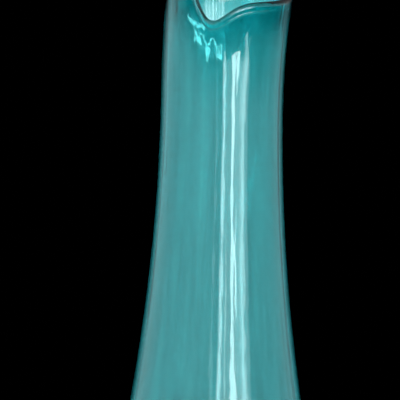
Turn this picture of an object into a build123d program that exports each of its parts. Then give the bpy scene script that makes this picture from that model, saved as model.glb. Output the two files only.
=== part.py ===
from build123d import *
from math import cos, exp, pi, sin
import os

# A tall hand blown vase: a slim neck with a flared, wavy lip, over a low round body on a disc foot.
# It is made of five gathers of glass, fused hot: an inner bubble of colour, a casing over it, a wrap
# round the lip, a foot, and what is left of the punty under the foot.
# Millimetres, +Z up, origin on the floor under the middle of the foot, front of the vase towards -Y.

# Foot
foot_radius = 50.0
foot_height = 10.0
foot_edge_radius = 4.0
seat_radius = 40.0  # the disc where the body is fused to the foot
dish_radius = 36.0  # the hollow ground into the underside, inside the resting ring
dish_depth = 3.5
dish_slope = 0.35  # how steeply the dish starts at its rim
button_radius = 11.0
button_thickness = 2.2
button_edge_radius = 1.4

# Body and neck, outside
belly_radius = 65.0
belly_height = 50.0
neck_radius = 31.0  # the slimmest place
waist_height = 320.0  # where the neck is slimmest
neck_spread = 5.28e-4  # radius gained per square millimetre below the waist
neck_heights = (295.0, 250.0, 205.0, 165.0, 125.0, 85.0)

# Walls: each gather's thickness at the neck, how much thicker it is at the belly, and at the bottom
casing_wall = 1.7
bubble_wall = 1.5
belly_thickening = 1.5
casing_floor = 5.0
bubble_floor = 4.0

# Lip: its height and its outward flare, each a level plus lobes round the rim.
# A lobe is (angle in degrees from the front towards +X, size, sharpness).
rim_level = 365.2
rim_lobes = ((-69.0, 32.0, 6.0), (-36.0, 15.0, 24.0), (-16.0, -13.0, 14.0), (153.0, 21.0, 1.4))
flare_level = 6.8
flare_lobes = ((-85.0, -8.0, 3.0), (90.0, -3.3, 3.0))
flare_top = 366.0  # where the flare reaches its full size on a level rim
flare_follow = 0.35  # how much of the rim's rise and fall the flare follows
flare_length = 60.0
flare_power = 2.5
lip_gather = 1.6  # how much thicker the colour is at the lip, where the heat drew it together
gather_reach = 10.0  # how far under the walls' edges the extra thickness starts
gather_blend = 4.0
wrap_height = 5.5  # the band of glass wound round the lip

# How finely the wavy mouth is drawn
outline_points = 36
rim_points = 90
mouth_bottom = neck_heights[0]
mouth_heights = (307.0, 318.0, 329.0, 340.0, 350.0, 361.0, 373.0, 386.0, 400.0)
cut_radii = (10.0, 62.0)  # the cut that shapes the rim runs between these
stock_height = 60.0  # what the cut takes away above itself


def lobed(level, lobes, angle):
    """A level plus smooth lobes at angle, all round a circle."""
    return level + sum(
        size * exp(sharpness * (cos(angle - centre * pi / 180) - 1))
        for centre, size, sharpness in lobes
    )


def rim_height(angle):
    """Height of the top of the lip."""
    return lobed(rim_level, rim_lobes, angle)


def flare(angle, height):
    """How far the mouth leans outward: it grows upward to its full size, then goes on at the same slope."""
    lean = lobed(flare_level, flare_lobes, angle)
    top = flare_top + flare_follow * (rim_height(angle) - flare_top)
    below = (top - height) / flare_length
    if below < 0:
        return lean * (1 - flare_power * below)
    return lean * max(1 - below, 0) ** flare_power


def seat_height(angle):
    """Where the walls end and the lip's wrap sits."""
    return rim_height(angle) - wrap_height


def thickening(angle, height):
    """How much of the lip's extra thickness there is at this height, from 0 to 1."""
    under = seat_height(angle) - height
    return 1 / (1 + exp((under - gather_reach) / gather_blend))


def body_radius(height):
    """Outside radius of the neck, which spreads as a parabola below its slimmest place."""
    return neck_radius + neck_spread * max(waist_height - height, 0) ** 2


def around(angle, radius):
    """Plan position at angle from the front (-Y) towards +X."""
    return radius * sin(angle), -radius * cos(angle)


def turn(points):
    """Angles once round, in equal steps."""
    return [2 * pi * step / points for step in range(points)]


def skin(inset, floor, gather=0.0):
    """The solid inside a glass surface: inset from the outside at the neck, floor up from the foot, and
    further inset by gather at the lip."""
    belly_inset = inset * belly_thickening
    bottom = foot_height + floor
    spread_slope = 2 * neck_spread * (waist_height - neck_heights[0])
    with BuildPart() as volume:
        with BuildSketch(Plane.XZ) as half:
            with BuildLine():
                side = [(body_radius(height) - inset, height) for height in neck_heights]
                Spline(
                    *side,
                    (belly_radius - belly_inset, belly_height),
                    (seat_radius - belly_inset, bottom),
                    tangents=((spread_slope, -1), (-1, 0)),
                )
                Polyline((seat_radius - belly_inset, bottom), (0, bottom), (0, side[0][1]), side[0])
            make_face()
        revolve(axis=Axis.Z)
        with BuildSketch(Plane.XY.offset(mouth_bottom)):
            Circle(side[0][0])
        for height in mouth_heights:
            outline = []
            for angle in turn(outline_points):
                outer = body_radius(height) + flare(angle, height)
                outline.append(around(angle, outer - inset - gather * thickening(angle, height)))
            with BuildSketch(Plane.XY.offset(height)):
                with BuildLine():
                    Spline(*outline, periodic=True)
                make_face()
        loft()
    return volume.part


def above_walls():
    """Everything over the wavy edge that the walls are cut to, as a block to take away."""
    inner, outer = (
        Edge.make_spline(
            [(*around(angle, radius), seat_height(angle)) for angle in turn(rim_points)],
            periodic=True,
            parameters=range(rim_points + 1),  # in step, so that the rulings run straight outward
        )
        for radius in cut_radii
    )
    cut = Face.make_surface_from_curves(inner, outer)
    return extrude(cut, stock_height, dir=(0, 0, 1))


def wrap_section(angle):
    """The lip wrap in the upright plane at this angle: flat on the walls' edges, flush with the walls at
    both sides as they lean, and half round on top."""
    seat = seat_height(angle)
    width = casing_wall + bubble_wall + lip_gather * thickening(angle, seat)
    outer = body_radius(seat) + flare(angle, seat)
    lean = Vector(flare(angle, seat) - flare(angle, seat - 1), 1).normalized()
    across = Vector(lean.Y, -lean.X)
    round_radius = width / 2 * lean.Y
    middle = Vector(outer - width / 2, seat) + lean * (wrap_height - round_radius)
    outer_top = middle + across * round_radius
    inner_top = middle - across * round_radius
    outward = (*around(angle, 1), 0)
    with BuildSketch(Plane((0, 0, 0), x_dir=outward, z_dir=(*around(angle - pi / 2, 1), 0))) as section:
        with BuildLine():
            Polyline(inner_top, (outer - width, seat), (outer, seat), outer_top)
            ThreePointArc(outer_top, middle + lean * round_radius, inner_top)
        make_face()
    return section.sketch.face()


outside = skin(0, 0)
between = skin(casing_wall, casing_floor)
inside = skin(casing_wall + bubble_wall, casing_floor + bubble_floor, lip_gather)
over_walls = above_walls()

# The casing: the outer gather, from the foot's seat to the rim.
with BuildPart() as clear_casing:
    add(outside)
    add(between, mode=Mode.SUBTRACT)
    add(over_walls, mode=Mode.SUBTRACT)

# The bubble of colour inside the casing, which holds the water.
with BuildPart() as colour_bubble:
    add(between)
    add(inside, mode=Mode.SUBTRACT)
    add(over_walls, mode=Mode.SUBTRACT)

# The wrap: a band wound along the rim, seated on the edges of both walls.
wrap_sections = [wrap_section(angle) for angle in turn(rim_points)]
with BuildPart() as lip_wrap:
    loft(wrap_sections + wrap_sections[:1])

# The foot: a thick disc with a rounded edge, hollowed underneath so that it stands on a ring.
with BuildPart() as foot_disc:
    Cylinder(foot_radius, foot_height, align=(Align.CENTER, Align.CENTER, Align.MIN))
    fillet(foot_disc.edges().filter_by(GeomType.CIRCLE), foot_edge_radius)
    with BuildSketch(Plane.XZ):
        with BuildLine():
            Line((0, 0), (dish_radius, 0))
            Spline((dish_radius, 0), (button_radius, dish_depth), tangents=((-1, dish_slope), (-1, 0)))
            Polyline((button_radius, dish_depth), (0, dish_depth), (0, 0))
        make_face()
    revolve(axis=Axis.Z, mode=Mode.SUBTRACT)

# The button: the end of the punty's gather, left in the dish and polished.
with BuildPart() as pontil_button:
    with Locations((0, 0, dish_depth - button_thickness)):
        Cylinder(button_radius, button_thickness, align=(Align.CENTER, Align.CENTER, Align.MIN))
    fillet(pontil_button.edges().sort_by(Axis.Z)[0], button_edge_radius)

pieces = {
    "clear_casing": clear_casing,
    "colour_bubble": colour_bubble,
    "lip_wrap": lip_wrap,
    "foot_disc": foot_disc,
    "pontil_button": pontil_button,
}
os.makedirs("parts", exist_ok=True)
for name, piece in pieces.items():
    piece.part.label = name
    export_step(piece.part, f"parts/{name}.step")
    print(name, round(piece.part.volume / 1000, 1), "cm3")
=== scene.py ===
import math

import bpy
import numpy as np
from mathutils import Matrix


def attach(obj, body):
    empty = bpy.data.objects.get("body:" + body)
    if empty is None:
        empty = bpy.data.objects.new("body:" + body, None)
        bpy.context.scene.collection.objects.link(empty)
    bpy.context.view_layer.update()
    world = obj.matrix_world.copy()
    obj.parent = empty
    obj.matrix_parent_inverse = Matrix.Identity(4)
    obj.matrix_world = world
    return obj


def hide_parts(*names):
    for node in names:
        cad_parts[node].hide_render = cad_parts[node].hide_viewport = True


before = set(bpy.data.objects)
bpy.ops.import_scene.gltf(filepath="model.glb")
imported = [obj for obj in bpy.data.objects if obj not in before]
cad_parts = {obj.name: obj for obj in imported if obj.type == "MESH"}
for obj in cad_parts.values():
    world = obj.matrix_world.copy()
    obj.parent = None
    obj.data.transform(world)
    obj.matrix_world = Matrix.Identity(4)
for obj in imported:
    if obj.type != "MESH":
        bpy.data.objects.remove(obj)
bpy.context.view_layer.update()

MM = 0.001

# A hand blown vase of five gathers of glass, in the CAD model's frame: +Z up, front towards -Y. Shapes are
# worked out in millimetres, with angles from the front towards +X, and lights and camera in metres.

# Foot
foot_radius, foot_height, foot_edge_radius = 50.0, 10.0, 4.0
seat_radius = 40.0  # where the body is fused to the foot
dish_radius, dish_depth, dish_slope = 36.0, 3.5, 0.35
dish_pulls = (11.0, 8.0)  # how far the dish's curve follows its tangents, at the button and at the rim
button_radius, button_thickness, button_edge_radius = 11.0, 2.2, 1.4

# Body and neck, outside
belly_radius, belly_height, belly_top = 65.0, 50.0, 85.0
neck_radius, waist_height = 31.0, 320.0
neck_spread = 5.28e-4  # radius gained per square millimetre below the waist

# Walls
casing_wall, bubble_wall = 1.7, 1.5
belly_thickening = 1.5  # times thicker at the belly than at the neck
casing_floor, bubble_floor = 5.0, 4.0
floor_dome = 3.0  # how far the bubble's floor rises in its middle
fuse_gap = 0.02  # between gathers that are fused, so that no two faces lie in the same place

# Lip. A lobe is (angle in degrees, size, sharpness).
rim_level = 365.2
rim_lobes = ((-69.0, 32.0, 6.0), (-36.0, 15.0, 24.0), (-16.0, -13.0, 14.0), (153.0, 21.0, 1.4))
flare_level = 6.8
flare_lobes = ((-85.0, -8.0, 3.0), (90.0, -3.3, 3.0))
flare_top, flare_follow = 366.0, 0.35
flare_length, flare_power = 60.0, 2.5
lip_gather, gather_reach, gather_blend = 1.6, 10.0, 4.0
wrap_height = 5.5
ridge_lobes = ((-20.0, 0.4, 14.0), (14.0, 0.3, 14.0))  # a ridge round the wrap's lower edge, at the front
ridge_place, ridge_width = 0.2, 0.11  # shares of the wrap's side

# Unevenness of the blown surfaces: each has a random seed and a size
outer_ripple, fused_ripple, inner_ripple = (11, 0.035), (23, 0.03), (37, 0.05)
ripple_waves = (  # waves round the vase, and their share
    (2, 2.0), (3, 1.2), (5, 0.8), (8, 0.6), (13, 0.5),
    (19, 0.35), (29, 0.25), (41, 0.28), (57, 0.25), (71, 0.2),
)
ripple_drift, drift_height = 1.5, 120.0  # radians that a wave may turn in that height
swell_paces, swell_height = (0.5, 2.0), 400.0  # times that a wave swells and fades in that height
swell_level, swell_size = 0.7, 0.3
ripple_fade = 40.0  # above the foot, where the ripple has come in
crease_list = (  # angle, top, bottom, depth, width in degrees
    (-26.0, 354.0, 343.0, 0.05, 1.6), (-19.0, 352.0, 339.0, 0.06, 1.4), (-14.0, 351.0, 334.0, -0.06, 1.3),
    (-9.0, 350.0, 336.0, 0.07, 1.1), (-3.5, 350.0, 334.0, -0.05, 1.3), (8.0, 352.0, 338.0, 0.05, 1.5),
    (30.0, 361.0, 316.0, 0.45, 12.0),
)
crease_rise = 0.35  # the share of its length over which a crease comes in at the top
crease_fall = 1.5  # it fades out over the last 1 / 1.5 of its length

# Drawing
around_steps, up_steps, disc_steps, turn_steps, belly_steps = 432, 150, 10, 28, 16
wrap_steps, dish_steps, edge_steps, button_steps = 21, 14, 10, 8
side_shares = (0.06, 0.12, 0.18, 0.24, 0.3, 0.36, 0.44, 0.54, 0.7, 0.85)  # up the wrap's outer side
back_shares = (0.66, 0.33, 0)  # down its inner side
ring_margins = (4.0, 2.0)  # between the rows on the foot's resting ring and its edges
seat_margin = 3.0  # between the foot's last open row and the seat
ANGLES = np.linspace(0, 2 * np.pi, around_steps, endpoint=False)


# ---------------------------------------------------------------- shape

def lobed(level, lobes, angle):
    """A level plus smooth lobes round a circle."""
    total = level + 0 * angle
    for centre, size, sharpness in lobes:
        total = total + size * np.exp(sharpness * (np.cos(angle - math.radians(centre)) - 1))
    return total


def rim_height(angle):
    """Height of the top of the lip."""
    return lobed(rim_level, rim_lobes, angle)


def seat_height(angle):
    """Where the walls end and the lip wrap sits."""
    return rim_height(angle) - wrap_height


def flare(angle, height):
    """How far the mouth leans outward at this height."""
    lean = lobed(flare_level, flare_lobes, angle)
    top = flare_top + flare_follow * (rim_height(angle) - flare_top)
    below = (top - height) / flare_length
    over = lean * (1 - flare_power * below)
    return np.where(below < 0, over, lean * np.clip(1 - below, 0, 1) ** flare_power)


def thickening(angle, height):
    """How much of the lip's extra thickness there is at this height, from 0 to 1."""
    under = seat_height(angle) - height
    return 1 / (1 + np.exp((under - gather_reach) / gather_blend))


def body_radius(height):
    """Outside radius of the neck, which spreads as a parabola below its slimmest place."""
    return neck_radius + neck_spread * np.maximum(waist_height - height, 0) ** 2


def bezier(p0, p1, p2, p3, count):
    t = np.linspace(0, 1, count)[:, None]
    p0, p1, p2, p3 = (np.array(p, float) for p in (p0, p1, p2, p3))
    return (1 - t) ** 3 * p0 + 3 * t * (1 - t) ** 2 * p1 + 3 * t * t * (1 - t) * p2 + t ** 3 * p3


def arc(centre_r, centre_h, radius, start, end, count):
    turns = [math.radians(degrees) for degrees in np.linspace(start, end, count)]
    return [(centre_r + radius * math.cos(turn), centre_h + radius * math.sin(turn)) for turn in turns]


def smooth(share):
    """An ease from 0 to 1 as share goes from 0 to 1."""
    share = np.clip(share, 0, 1)
    return share * share * (3 - 2 * share)


def ripple(angle, height, seed, size):
    """The unevenness of hand blown glass: long upright waves that drift as they climb."""
    rng = np.random.default_rng(seed)
    total = 0 * angle
    for waves, share in ripple_waves:
        phase = rng.uniform(0, 2 * np.pi)
        drift = rng.uniform(-ripple_drift, ripple_drift)
        pace = rng.uniform(*swell_paces)
        swell = swell_level + swell_size * np.sin(height / swell_height * 2 * np.pi * pace + phase * 3)
        total = total + share * swell * np.sin(waves * angle + phase + drift * height / drift_height)
    return size * total


def creases(angle, height):
    """Short upright creases under the lip's dip, left where the hot lip was pulled down, and one broad
    swell to the right of them."""
    total = 0 * angle
    for centre, top, bottom, depth, width in crease_list:
        across = (angle * 180 / np.pi - centre + 180) % 360 - 180
        share = (top - height) / (top - bottom)
        along = smooth(share / crease_rise) * smooth((1 - share) * crease_fall)
        total = total + depth * along * np.exp(-0.5 * (across / width) ** 2)
    return total


def meridian(inset, floor):
    """The (radius, height) points of a skin's lower part, from the seat's edge up to the belly's top."""
    deep = inset * belly_thickening
    bottom = foot_height + floor
    turn = np.linspace(np.pi / 2, 0, turn_steps)[:, None]
    low = np.hstack([
        seat_radius - deep + (belly_radius - seat_radius) * np.cos(turn),
        belly_height - (belly_height - bottom) * np.sin(turn),
    ])
    top_radius = body_radius(belly_top) - inset
    slope = 2 * neck_spread * (waist_height - belly_top)
    reach = (belly_top - belly_height) / 3
    belly = bezier(
        (belly_radius - deep, belly_height),
        (belly_radius - deep, belly_height + reach),
        (top_radius + slope * reach, belly_top - reach),
        (top_radius, belly_top),
        belly_steps,
    )
    return np.vstack([low, belly[1:]])


def ring_row(radius, height):
    """A ring of points round the axis. radius and height are numbers, or one value for each angle."""
    return np.stack([radius * np.sin(ANGLES), -radius * np.cos(ANGLES), 0 * ANGLES + height], axis=1)


def skin(inset, floor, unevenness, gather=0.0, creased=False):
    """Rows of points of one glass surface, from the seat's edge up to the wavy rim."""
    rows = []
    for radius, height in meridian(inset, floor):
        fade = np.clip((height - foot_height) / ripple_fade, 0.0, 1)
        rows.append(ring_row(radius + fade * ripple(ANGLES, height, *unevenness), height))
    for step in np.linspace(0, 1, up_steps)[1:]:
        height = belly_top + (seat_height(ANGLES) - belly_top) * step
        radius = body_radius(height) + flare(ANGLES, height) - inset - gather * thickening(ANGLES, height)
        radius = radius + ripple(ANGLES, height, *unevenness)
        if creased:
            radius = radius + creases(ANGLES, height)
        rows.append(ring_row(radius, height))
    return rows


def disc_rows(radius, height, dome=0.0):
    """Rings of a disc from near its middle out to its edge, the edge left out."""
    shares = np.linspace(0, 1, disc_steps + 1)[1:-1]
    return [ring_row(radius * share, height + dome * (1 - share ** 2) ** 2) for share in shares]


def turned(name, rows, fused_rows, poles=None, ring=False):
    """A closed mesh from rings of points. poles are the heights of the two middle points.
    fused_rows marks the bands, counted from the first, that are fused to a neighbour: -1 is the band
    at the first pole."""
    count = around_steps
    points = [p for row in rows for p in row]
    faces, fused = [], []
    bands = len(rows) - 1 + (1 if ring else 0)
    for band in range(bands):
        a, b = band * count, ((band + 1) % len(rows)) * count
        for i in range(count):
            j = (i + 1) % count
            faces.append((a + i, a + j, b + j, b + i))
            fused.append(1.0 if band in fused_rows else 0.0)
    if poles:
        first, last = len(points), len(points) + 1
        points += [(0, 0, poles[0]), (0, 0, poles[1])]
        a = (len(rows) - 1) * count
        for i in range(count):
            j = (i + 1) % count
            faces.append((first, j, i))
            fused.append(1.0 if -1 in fused_rows else 0.0)
            faces.append((last, a + i, a + j))
            fused.append(1.0 if len(rows) - 1 in fused_rows else 0.0)
    mesh = bpy.data.meshes.new(name)
    mesh.from_pydata((np.array(points) * MM).tolist(), [], faces)
    mesh.update()
    mark = mesh.attributes.new("fused", "FLOAT", "FACE")
    mark.data.foreach_set("value", fused)
    deep = [float(thickening(math.atan2(x, -y), h)) if h > waist_height else 0.0 for x, y, h in points]
    mesh.attributes.new("deep", "FLOAT", "POINT").data.foreach_set("value", deep)
    finish_mesh(mesh, fused)
    piece = bpy.data.objects.new(name, mesh)
    bpy.context.scene.collection.objects.link(piece)
    return piece


def finish_mesh(mesh, fused):
    """Smooth shading, with a sharp edge wherever a fused face meets an open one."""
    mesh.polygons.foreach_set("use_smooth", [True] * len(mesh.polygons))
    sides = {}
    for polygon, mark in zip(mesh.polygons, fused):
        for key in polygon.edge_keys:
            sides.setdefault(key, set()).add(mark)
    sharp = mesh.attributes.new("sharp_edge", "BOOLEAN", "EDGE")
    keys = [tuple(sorted(e.vertices)) for e in mesh.edges]
    sharp.data.foreach_set("value", [len(sides[k]) > 1 for k in keys])


def surface(inset, floor, unevenness, fused, gather=0.0, creased=False):
    """One skin of a gather, with the inset of its lower edge and whether it is fused to a neighbour."""
    rows = skin(inset, floor, unevenness, gather, creased)
    return {"rows": rows, "deep": inset * belly_thickening, "fused": fused}


def shell(name, outer, inner, floors, dome=0.0):
    """A gather of glass between two skins: rows run out along the bottom, up outside, across the top and
    down inside. Its bottom and its top are fused to a neighbour."""
    outer_disc = disc_rows(seat_radius - outer["deep"], floors[0])
    inner_disc = disc_rows(seat_radius - inner["deep"], floors[1], dome)
    rows = outer_disc + outer["rows"] + inner["rows"][::-1] + inner_disc[::-1]
    n_disc, n_out = len(outer_disc), len(outer["rows"])
    fused = set(range(-1, n_disc)) | {n_disc + n_out - 1}
    if outer["fused"]:
        fused |= set(range(n_disc, n_disc + n_out - 1))
    if inner["fused"]:
        fused |= set(range(n_disc + n_out, len(rows)))
    return turned(name, rows, fused, poles=(floors[0], floors[1] + dome))


def make_casing():
    outer = surface(0, 0, outer_ripple, False, creased=True)
    inner = surface(casing_wall - fuse_gap / 2, casing_floor, fused_ripple, True)
    return shell("clear_casing_glass", outer, inner, (foot_height, foot_height + casing_floor))


def make_bubble():
    outer = surface(casing_wall + fuse_gap / 2, casing_floor + fuse_gap, fused_ripple, True)
    inner = surface(casing_wall + bubble_wall, casing_floor + bubble_floor, inner_ripple, False, lip_gather)
    floor = foot_height + casing_floor
    return shell("colour_bubble_glass", outer, inner, (floor + fuse_gap, floor + bubble_floor), floor_dome)


def make_wrap():
    """The lip's wrap: flat on the walls' edges, flush with them as they lean, and half round on top."""
    seat = seat_height(ANGLES) + fuse_gap
    outside, inside = ripple(ANGLES, seat, *outer_ripple), ripple(ANGLES, seat, *inner_ripple)
    outer = body_radius(seat) + flare(ANGLES, seat) + outside
    width = casing_wall + bubble_wall + lip_gather * thickening(ANGLES, seat)
    width = width + outside - inside
    slope = flare(ANGLES, seat) - flare(ANGLES, seat - 1)
    up = 1 / np.hypot(slope, 1)
    out = slope * up
    half = width / 2 * up
    reach = wrap_height - half
    middle_r, middle_h = outer - width / 2 + out * reach, seat + up * reach
    ridge = lobed(0.0, ridge_lobes, ANGLES)
    sides = [(outer, seat)]
    for share in side_shares:
        r = outer + (middle_r + up * half - outer) * share
        r = r + ridge * np.exp(-((share - ridge_place) / ridge_width) ** 2)
        sides.append((r, seat + (middle_h - out * half - seat) * share))
    for turn in np.linspace(0, np.pi, wrap_steps):
        across, along = half * np.cos(turn), half * np.sin(turn)
        sides.append((middle_r + up * across + out * along, middle_h - out * across + up * along))
    inner = outer - width
    for share in back_shares:
        r = inner + (middle_r - up * half - inner) * share
        sides.append((r, seat + (middle_h + out * half - seat) * share))
    rows = [ring_row(r, h) for r, h in sides]
    return turned("lip_wrap_glass", rows, {len(rows) - 1}, ring=True)


def make_foot():
    """The disc foot: hollowed underneath, where the button is fused on, and fused to the body on top."""
    dish = bezier(
        (button_radius, dish_depth),
        (button_radius + dish_pulls[0], dish_depth),
        (dish_radius - dish_pulls[1], dish_slope * dish_pulls[1]),
        (dish_radius, 0),
        dish_steps,
    )
    edge_middle = foot_radius - foot_edge_radius
    points = [(button_radius * share, dish_depth) for share in (0.33, 0.66)]
    points += [tuple(p) for p in dish]
    points += [(dish_radius + ring_margins[0], 0), (edge_middle - ring_margins[1], 0)]
    points += arc(edge_middle, foot_edge_radius, foot_edge_radius, -90, 0, edge_steps)
    points += arc(edge_middle, foot_height - foot_edge_radius, foot_edge_radius, 0, 90, edge_steps)
    points += [(seat_radius + seat_margin, foot_height), (seat_radius, foot_height)]
    seat_row = len(points) - 1
    points += [(seat_radius * share, foot_height) for share in (0.8, 0.6, 0.4, 0.2)]
    points = [(r, h - (fuse_gap if r <= seat_radius and h >= foot_height else 0)) for r, h in points]
    fused = set(range(seat_row, len(points))) | {-1, 0, 1}
    rows = [ring_row(r, h) for r, h in points]
    return turned("foot_disc_glass", rows, fused, poles=(dish_depth, foot_height - fuse_gap))


def make_button():
    """The end of the punty's gather, with a rounded lower edge, fused into the foot's hollow."""
    low, high = dish_depth - button_thickness, dish_depth - fuse_gap
    points = [(button_radius * share, low) for share in (0.3, 0.6)]
    edge_middle = button_radius - button_edge_radius
    points += arc(edge_middle, low + button_edge_radius, button_edge_radius, -90, 0, button_steps)
    top_row = len(points)
    points += [(button_radius * share, high) for share in (1, 0.66, 0.33)]
    rows = [ring_row(r, h) for r, h in points]
    return turned("pontil_button_glass", rows, set(range(top_row, len(rows))), poles=(low, high))


# ---------------------------------------------------------------- materials

white = (1, 1, 1, 1)
glass_ior = 1.5
streak_scale, streak_detail, streak_stretch = 160, 3, 0.06  # drawn out along the height
streak_range = (0.35, 0.65)  # of the noise, spread over the streaks' two colours
streak_darkening = 0.25
breath_scale, breath_detail = 35, 4
rough_range = (0.4, 1.6)  # times a glass's own roughness
streak_bump, floor_bump = 0.0004, 0.001
floor_dark, floor_pale = (0.62, 0.62, 0.61, 1), (0.68, 0.68, 0.67, 1)
floor_rough = (0.6, 0.8)
floor_cloud_scale, floor_grain_scale, floor_bumpiness = 6, 60, 0.05


def add_node(tree, kind, inputs, **settings):
    """A new shader node. Each input gets a plain value, or a link from another node's output."""
    node = tree.nodes.new(kind)
    for setting, value in settings.items():
        setattr(node, setting, value)
    for place, value in inputs.items():
        if isinstance(value, bpy.types.NodeSocket):
            tree.links.new(value, node.inputs[place])
        else:
            node.inputs[place].default_value = value
    return node


def mixed(tree, factor, first, second, blend_type="MIX"):
    """The first colour where factor is 0 and the second, or their product, where it is 1."""
    inputs = {"Factor": factor, "A": first, "B": second}
    return add_node(tree, "ShaderNodeMix", inputs, data_type="RGBA", blend_type=blend_type).outputs["Result"]


def ranged(tree, value, source, target, **settings):
    """A value taken from the source range to the target range."""
    inputs = {"Value": value}
    inputs["From Min"], inputs["From Max"] = source
    inputs["To Min"], inputs["To Max"] = target
    return add_node(tree, "ShaderNodeMapRange", inputs, **settings).outputs["Result"]


def combined(tree, operation, first, second):
    return add_node(tree, "ShaderNodeMath", {0: first, 1: second}, operation=operation).outputs[0]


def new_tree(owner):
    """The empty node tree of a material or world."""
    owner.use_nodes = True
    owner.node_tree.nodes.clear()
    return owner.node_tree


def glass(name, tint, absorb_colour, absorb_density, rough, grain, bumpiness, lip_tint=(1, 1, 1)):
    """Blown glass: tint is its surface colour, lip_tint what that becomes at the lip, and grain how
    strongly it is streaked along its height. Faces fused to a neighbour don't bend or tint the light."""
    material = bpy.data.materials.new(name)
    tree = new_tree(material)
    where = add_node(tree, "ShaderNodeTexCoord", {}).outputs["Object"]
    fused = add_node(tree, "ShaderNodeAttribute", {}, attribute_name="fused").outputs["Fac"]
    deep = add_node(tree, "ShaderNodeAttribute", {}, attribute_name="deep").outputs["Fac"]

    stretched = add_node(tree, "ShaderNodeMapping", {"Vector": where, "Scale": (1, 1, streak_stretch)})
    streaks = add_node(tree, "ShaderNodeTexNoise", {
        "Vector": stretched.outputs["Vector"], "Scale": streak_scale, "Detail": streak_detail,
    }).outputs["Fac"]
    dark = tuple(c * (1 - streak_darkening * grain) for c in tint)
    colour = mixed(tree, ranged(tree, streaks, streak_range, (0, 1)), (*dark, 1), (*tint, 1))
    lip = mixed(tree, deep, white, (*lip_tint, 1))
    deepened = mixed(tree, 1, colour, lip, "MULTIPLY")

    breath = add_node(tree, "ShaderNodeTexNoise", {
        "Vector": where, "Scale": breath_scale, "Detail": breath_detail,
    }).outputs["Fac"]
    roughness = ranged(tree, breath, (0, 1), (rough * rough_range[0], rough * rough_range[1]))
    bump = add_node(tree, "ShaderNodeBump", {
        "Strength": bumpiness, "Distance": streak_bump, "Height": streaks,
    })

    body = add_node(tree, "ShaderNodeBsdfPrincipled", {
        "Base Color": mixed(tree, fused, deepened, white),
        "Roughness": combined(tree, "MULTIPLY", roughness, combined(tree, "SUBTRACT", 1, fused)),
        "IOR": ranged(tree, fused, (0, 1), (glass_ior, 1)),
        "Normal": bump.outputs["Normal"],
        "Transmission Weight": 1,
    })
    absorb = add_node(tree, "ShaderNodeVolumeAbsorption", {
        "Color": (*absorb_colour, 1), "Density": absorb_density,
    })
    add_node(tree, "ShaderNodeOutputMaterial", {
        "Surface": body.outputs["BSDF"], "Volume": absorb.outputs["Volume"],
    })
    return material


def pale_floor():
    """A matt pale floor, faintly cloudy, with a fine grain."""
    material = bpy.data.materials.new("pale_floor")
    tree = new_tree(material)
    clouds = add_node(tree, "ShaderNodeTexNoise", {"Scale": floor_cloud_scale}).outputs["Fac"]
    grain = add_node(tree, "ShaderNodeTexNoise", {"Scale": floor_grain_scale}).outputs["Fac"]
    bump = add_node(tree, "ShaderNodeBump", {
        "Strength": floor_bumpiness, "Distance": floor_bump, "Height": grain,
    })
    body = add_node(tree, "ShaderNodeBsdfPrincipled", {
        "Base Color": mixed(tree, clouds, floor_dark, floor_pale),
        "Roughness": ranged(tree, grain, (0, 1), floor_rough),
        "Normal": bump.outputs["Normal"],
    })
    add_node(tree, "ShaderNodeOutputMaterial", {"Surface": body.outputs["BSDF"]})
    return material


# ---------------------------------------------------------------- stage, light and camera

floor_radius, floor_points = 1.9, 96
camera_distance, camera_height, camera_roll = 1.2, 0.269, 1.24
view_height = 0.2032  # of the frame, at the vase
axis_share = 0.05  # how far the neck stands right of the frame's middle, in frame widths

# The air that the glass passes on, brighter away from the middle
air_left, air_middle, air_right, air_spread = 1.4, 1.12, 1.2, 0.5

# The dimmer room that the glass mirrors: each fade runs from the first direction to the second
mirror_left, mirror_right, mirror_top, mirror_floor = 0.9, 0.7, 0.3, 0.4
side_fade, front_fade = (-0.8, 0.4), (0.55, 0.95)
horizon_fade, top_fade, ground_fade = (-0.15, 0.08), (0.2, 0.7), (-0.4, -0.6)

floor_light = 0.9  # what lights the floor


def make_floor():
    turns = [2 * math.pi * i / floor_points for i in range(floor_points)]
    ring = [(floor_radius * math.cos(turn), floor_radius * math.sin(turn), 0) for turn in turns]
    mesh = bpy.data.meshes.new("floor")
    mesh.from_pydata(ring, [], [tuple(range(floor_points))])
    floor = bpy.data.objects.new("floor", mesh)
    bpy.context.scene.collection.objects.link(floor)
    mesh.materials.append(pale_floor())
    floor.visible_glossy = False


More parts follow.
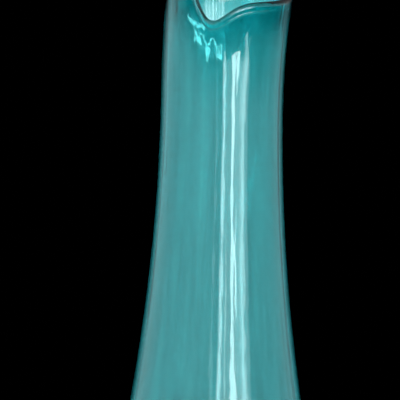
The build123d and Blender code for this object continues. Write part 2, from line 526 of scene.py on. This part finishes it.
def studio_air():
    """Even pale light all round, which the glass passes on. What it mirrors is a dimmer room, and the
    camera itself sees a plain black backdrop."""
    world = bpy.data.worlds.new("studio")
    bpy.context.scene.world = world
    tree = new_tree(world)
    path = add_node(tree, "ShaderNodeLightPath", {})
    where = add_node(tree, "ShaderNodeTexCoord", {})
    axes = add_node(tree, "ShaderNodeSeparateXYZ", {"Vector": where.outputs["Generated"]})

    def backdrop(strength):
        return add_node(tree, "ShaderNodeBackground", {"Color": white, "Strength": strength}).outputs[0]

    def graded(axis, fade, low, high):
        return ranged(tree, axes.outputs[axis], fade, (low, high), interpolation_type="SMOOTHSTEP")

    def choose(flag, first, second):
        inputs = {"Fac": path.outputs[flag], 1: first, 2: second}
        return add_node(tree, "ShaderNodeMixShader", inputs).outputs[0]

    half = air_middle / 2
    air = combined(tree, "ADD", graded("X", (0, -air_spread), half, air_left - half),
                   graded("X", (0, air_spread), half, air_right - half))
    level = combined(tree, "MULTIPLY", graded("Z", horizon_fade, 0, 1), graded("Z", top_fade, 1, mirror_top))
    level = combined(tree, "ADD", level, graded("Z", ground_fade, 0, mirror_floor))
    level = combined(tree, "MULTIPLY", graded("Y", front_fade, 1, 0), level)
    room = combined(tree, "MULTIPLY", graded("X", side_fade, mirror_left, mirror_right), level)
    seen = choose("Is Transmission Ray", backdrop(room), backdrop(air))
    seen = choose("Is Diffuse Ray", seen, backdrop(floor_light))
    seen = choose("Is Camera Ray", seen, backdrop(0))
    add_node(tree, "ShaderNodeOutputWorld", {"Surface": seen})


def lamp(name, azimuth, distance, low, high, width, radiance, colour=(0.68, 0.98, 1), tilt=0.0):
    """An upright area light, azimuth degrees to the right of the camera as the vase sees it. It shows in
    the glass but leaves the floor alone. A tilt lowers its right end."""
    light = bpy.data.lights.new(name, "AREA")
    light.shape = "RECTANGLE"
    light.size, light.size_y = width, high - low
    light.energy = radiance * math.pi * width * (high - low)
    light.color = colour
    holder = bpy.data.objects.new(name, light)
    turn = math.radians(azimuth)
    holder.location = (distance * math.sin(turn), -distance * math.cos(turn), (low + high) / 2)
    holder.rotation_euler = (math.pi / 2, math.radians(tilt), turn)
    holder.visible_camera = False
    holder.visible_diffuse = False
    bpy.context.scene.collection.objects.link(holder)
    return holder


def lights():
    # The long highlights: upright strips, with fainter lines and wide glows among them
    lamp("strip_thin", 4.8, 1.6, 0.02, 1.3, 0.09, 8)
    strip = lamp("strip_main", 22, 1.6, 0.045, 1.3, 0.2, 14)
    lamp("strip_right", 39.4, 1.6, 0.045, 1.3, 0.17, 6)
    lamp("line_1", -8, 1.6, 0.02, 1.3, 0.05, 2)
    lamp("line_2", 33.5, 1.6, 0.045, 1.3, 0.05, 4)
    lamp("line_3", 12, 1.6, 0.45, 1.3, 0.06, 5)
    lamp("line_4", 35.5, 1.6, 0.55, 1.3, 0.06, 5)
    wide = lamp("glow_wide", 24, 1.75, 0.05, 1.3, 1.5, 2.8)
    near = lamp("glow_near", 33, 1.7, 0.08, 1.3, 0.5, 1.6)
    for holder in (strip, wide, near):
        holder.visible_transmission = False

    # The arc and the fan under the lip's dip: low bars and strips at the left
    cyan = (0.2, 0.97, 1)
    lamp("low_bar", -40, 0.9, 0.163, 0.175, 1.14, 13, cyan, 6.2)
    lamp("low_arc_1", -63, 0.8, 0.196, 0.208, 0.75, 13, cyan, 11.5)
    lamp("low_arc_2", -24, 0.8, 0.117, 0.126, 0.4, 9, cyan, 4.4)
    lamp("low_strip_1", -34, 0.9, 0.175, 0.23, 0.07, 12, cyan)
    lamp("low_strip_2", -20, 0.9, 0.15, 0.19, 0.03, 10, cyan)
    lamp("low_strip_3", -6.2, 0.9, 0.14, 0.2, 0.06, 12, cyan)

    # High lamps for the lip and the mouth
    lamp("high_left", -62, 1.5, 0.95, 1.6, 1.2, 8, (0.3, 0.97, 1))
    lamp("high_front", -5, 1.5, 1.15, 1.7, 1.0, 6, (1, 0.7, 0.72))

    # The only lamp that lights the floor. The glass doesn't show it.
    ceiling = lamp("ceiling", -25, 1.5, 1.0, 2.2, 2.4, 5, (1, 0.97, 0.95))
    ceiling.rotation_euler[0] = math.radians(50)
    ceiling.visible_glossy = ceiling.visible_transmission = False
    ceiling.visible_diffuse = True


def camera():
    data = bpy.data.cameras.new("camera")
    data.sensor_width = 36
    data.lens = data.sensor_width * camera_distance / view_height
    data.shift_x = -axis_share
    holder = bpy.data.objects.new("camera", data)
    holder.location = (0, -camera_distance, camera_height)
    holder.rotation_euler = (math.pi / 2, -math.radians(camera_roll), 0)
    bpy.context.scene.collection.objects.link(holder)
    bpy.context.scene.camera = holder


# ---------------------------------------------------------------- the scene

casing = make_casing()
bubble = make_bubble()
wrap = make_wrap()
foot = make_foot()
button = make_button()

casing_look = glass("casing_glass", tint=(0.97, 1, 1), absorb_colour=(0.12, 0.68, 0.70), absorb_density=320,
                    rough=0.03, grain=0.6, bumpiness=0.3)
bubble_look = glass("teal_glass", tint=(0.95, 1, 1), absorb_colour=(0.08, 0.70, 0.72), absorb_density=860,
                    rough=0.1, grain=0.6, bumpiness=0.2, lip_tint=(0.1, 0.93, 0.94))
wrap_look = glass("deep_teal_glass", tint=(0.2, 0.93, 0.94), absorb_colour=(0.0, 0.70, 0.72),
                  absorb_density=520, rough=0.03, grain=0.3, bumpiness=0.05)
foot_look = glass("foot_glass", tint=(0.97, 1, 1), absorb_colour=(0.0, 0.66, 0.68), absorb_density=60,
                  rough=0.03, grain=0.3, bumpiness=0.05)
button_look = glass("punty_glass", tint=(0.97, 1, 1), absorb_colour=(0.0, 0.66, 0.68), absorb_density=60,
                    rough=0.1, grain=0.3, bumpiness=0.05)

looks = {
    "casing_glass": (casing, "clear_casing", casing_look),
    "teal_glass": (bubble, "colour_bubble", bubble_look),
    "deep_teal_glass": (wrap, "lip_wrap", wrap_look),
    "foot_glass": (foot, "foot_disc", foot_look),
    "punty_glass": (button, "pontil_button", button_look),
}
for slot, (piece, node, material) in looks.items():
    piece.data.materials.append(material)
    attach(piece, "root")
    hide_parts(node)

make_floor()
studio_air()
lights()
camera()

scene = bpy.context.scene
scene.view_settings.view_transform = "Standard"
scene.cycles.max_bounces = 32
scene.cycles.transmission_bounces = 32
scene.cycles.glossy_bounces = 8
